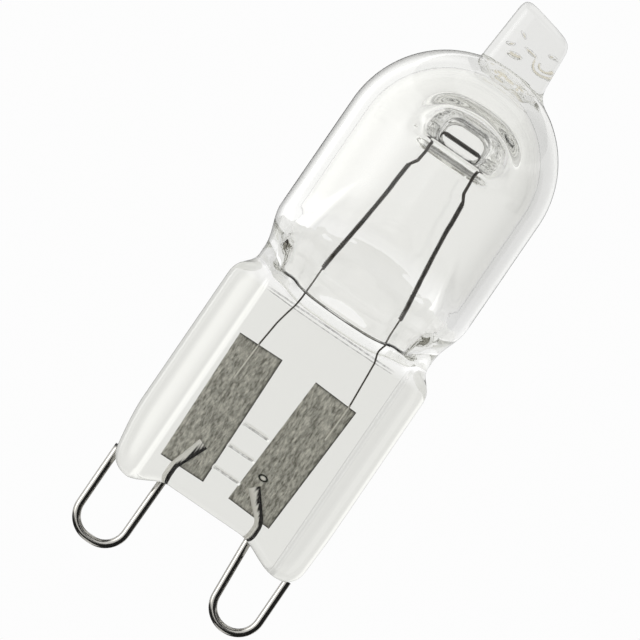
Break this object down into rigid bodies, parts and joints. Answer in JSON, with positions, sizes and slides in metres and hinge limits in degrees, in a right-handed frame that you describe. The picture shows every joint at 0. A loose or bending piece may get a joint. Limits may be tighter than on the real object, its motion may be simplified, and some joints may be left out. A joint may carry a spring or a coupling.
{
  "type": "halogen capsule bulb",
  "caption": "Clear quartz capsule lamp with a flat pressed pinch, looped wire contact pins, a dimple-held filament and a sealed exhaust stub on the crown.",
  "frame": {"origin": "middle of the pinch's lower edge, between the contact pins", "axes": "+Z along the lamp's axis to the exhaust stub, X along the flat pinch from the left pin to the right, -Y the front that the picture shows"},
  "size_m": [0.0132, 0.0128, 0.0396],
  "materials": {
    "quartz": "clear, polished by the flame",
    "tungsten": "dull grey drawn wire",
    "lead_wire": "drawn wire",
    "molybdenum_foil": "rolled foil, mottled where the quartz grips it",
    "pin_wire": "bright plated wire"
  },
  "bodies": {
    "root": {"quartz_envelope": "quartz", "filament": "tungsten", "inner_lead_left": "lead_wire", "inner_lead_right": "lead_wire", "foil_left": "molybdenum_foil", "foil_right": "molybdenum_foil", "contact_pin_left": "pin_wire", "contact_pin_right": "pin_wire"}
  },
  "joints": []
}
